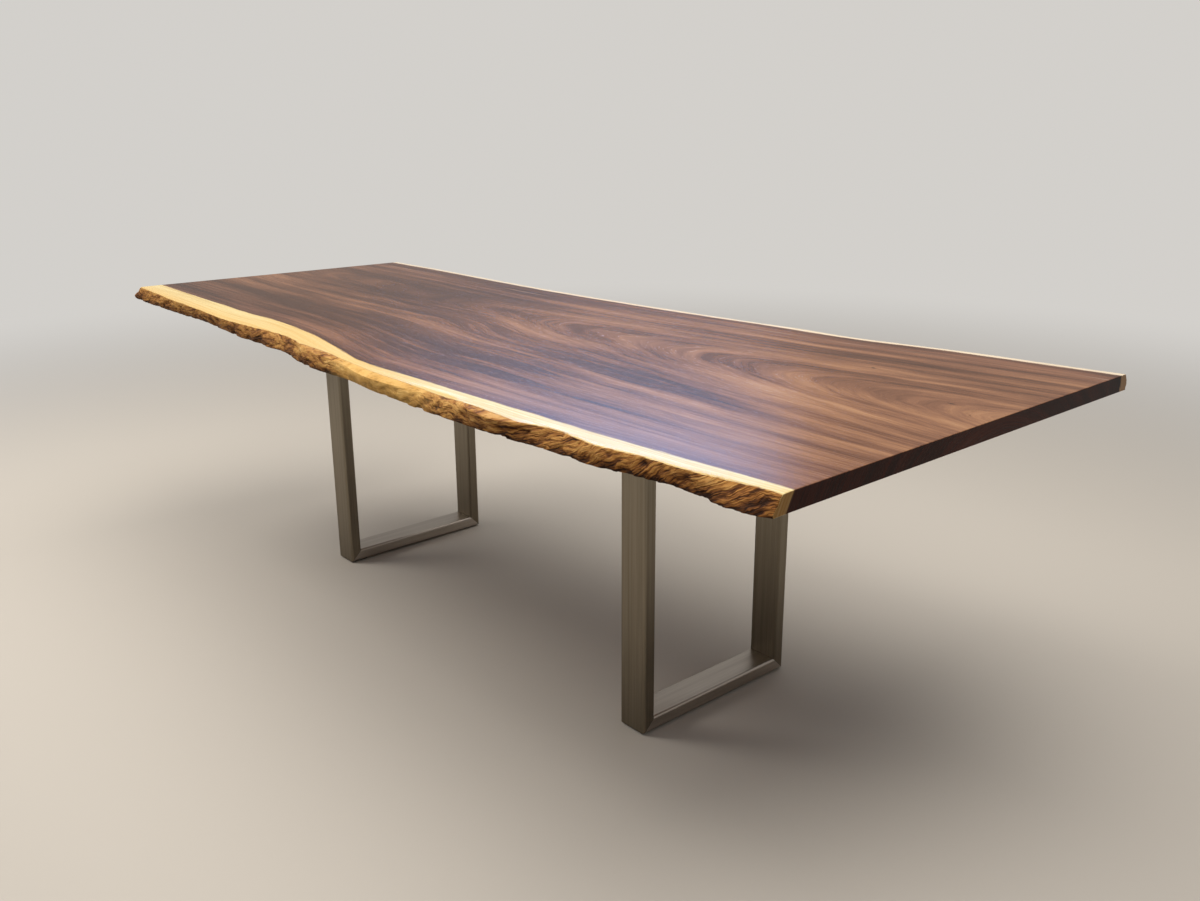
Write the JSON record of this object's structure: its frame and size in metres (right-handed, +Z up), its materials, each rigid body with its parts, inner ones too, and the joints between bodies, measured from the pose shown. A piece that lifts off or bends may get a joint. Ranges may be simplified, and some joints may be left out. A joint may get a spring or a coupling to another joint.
{
  "type": "live edge dining table",
  "caption": "Dining table: a natural-edge hardwood slab with cream sapwood edges, bolted on welded U-shaped legs of flat brushed stainless tube.",
  "frame": {"origin": "on the floor, under the middle of the slab's box", "axes": "+X along the slab towards the right leg, -Y towards the front live edge, +Z up"},
  "size_m": [2.4661, 1.1838, 0.762],
  "materials": {
    "slab_wood": "satin clear coat on dark heartwood, pale sapwood at the edges",
    "leg_steel": "stainless steel brushed along the tube",
    "weld_steel": "as-welded stainless steel, wire brushed",
    "bolt_steel": "plain stainless steel",
    "insert_brass": "plain brass",
    "pad_rubber": "matt black rubber"
  },
  "bodies": {
    "root": {"live_edge_slab": "slab_wood", "left_front_upright": "leg_steel", "left_rear_upright": "leg_steel", "left_floor_bar": "leg_steel", "left_mounting_plate": "leg_steel", "left_plate_welds": "weld_steel", "left_bolts": "bolt_steel", "left_washers": "bolt_steel", "left_threaded_inserts": "insert_brass", "left_front_floor_pad": "pad_rubber", "left_rear_floor_pad": "pad_rubber", "right_front_upright": "leg_steel", "right_rear_upright": "leg_steel", "right_floor_bar": "leg_steel", "right_mounting_plate": "leg_steel", "right_plate_welds": "weld_steel", "right_bolts": "bolt_steel", "right_washers": "bolt_steel", "right_threaded_inserts": "insert_brass", "right_front_floor_pad": "pad_rubber", "right_rear_floor_pad": "pad_rubber"}
  },
  "joints": []
}
